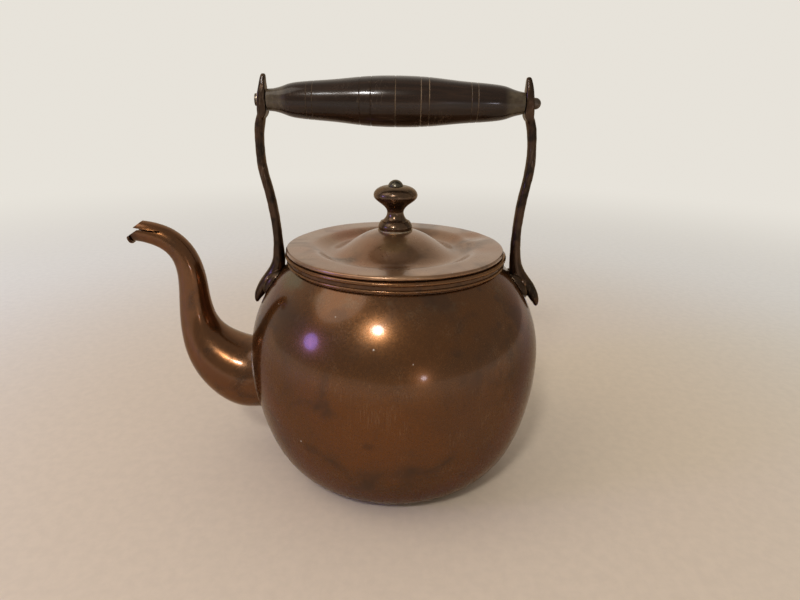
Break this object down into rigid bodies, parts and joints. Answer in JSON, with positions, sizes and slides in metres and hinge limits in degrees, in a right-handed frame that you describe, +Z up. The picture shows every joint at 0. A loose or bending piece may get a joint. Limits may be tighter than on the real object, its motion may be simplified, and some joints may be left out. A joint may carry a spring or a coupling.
{
  "type": "kettle",
  "caption": "Round copper tea kettle with a gooseneck spout, a lift-off lid with a turned knob, and a fixed overhead handle with a turned wooden grip.",
  "frame": {"origin": "centre of the flat bottom, on the surface that the kettle stands on", "axes": "+Z up along the belly's axis; the spout points towards -X; the grip runs along X, above the lid"},
  "size_m": [0.2384, 0.17, 0.2282],
  "materials": {
    "body_copper": "brown patinated copper, satin, fine scratches",
    "spout_copper": "brown patinated copper, smoother and glossier",
    "lid_copper": "paler pinkish-brown patinated copper, satin",
    "inner_tin": "dull tinned sheet",
    "handle_bronze": "forged, dark brown, worn on its ridges",
    "knob_bronze": "turned, dark brown, polished by hands",
    "rod_bronze": "hammered ends, worn",
    "rivet_copper": "hammered copper, dull",
    "washer_brass": "pale rubbed brass",
    "solder": "dull grey solder",
    "edge_iron": "bare iron wire",
    "grip_wood": "dark varnish over turned hardwood"
  },
  "bodies": {
    "kettle": {"body_shell": "body_copper", "neck_ring": "lid_copper", "spout_tube": "spout_copper", "spout_lip": "spout_copper", "spout_solder": "solder", "left_upright": "handle_bronze", "right_upright": "handle_bronze", "left_foot_rivets": "rivet_copper", "right_foot_rivets": "rivet_copper", "tie_rod": "rod_bronze", "rod_washer": "washer_brass"},
    "lid": {"lid_cover": "lid_copper", "lid_edge_wire": "edge_iron", "lid_skirt": "inner_tin", "knob": "knob_bronze", "knob_stud": "knob_bronze", "knob_washer": "washer_brass", "backing_washer": "washer_brass"},
    "grip": {"grip": "grip_wood"}
  },
  "joints": [
    {"name": "lid_lift", "type": "slide", "parent": "kettle", "child": "lid", "axis": [0, 0, 1], "range_m": [0, 0.025]},
    {"name": "grip_spin", "type": "hinge", "parent": "kettle", "child": "grip", "pos_m": [-0.00095, 0, 0.2149], "axis": [1, 0, 0], "continuous": true}
  ]
}
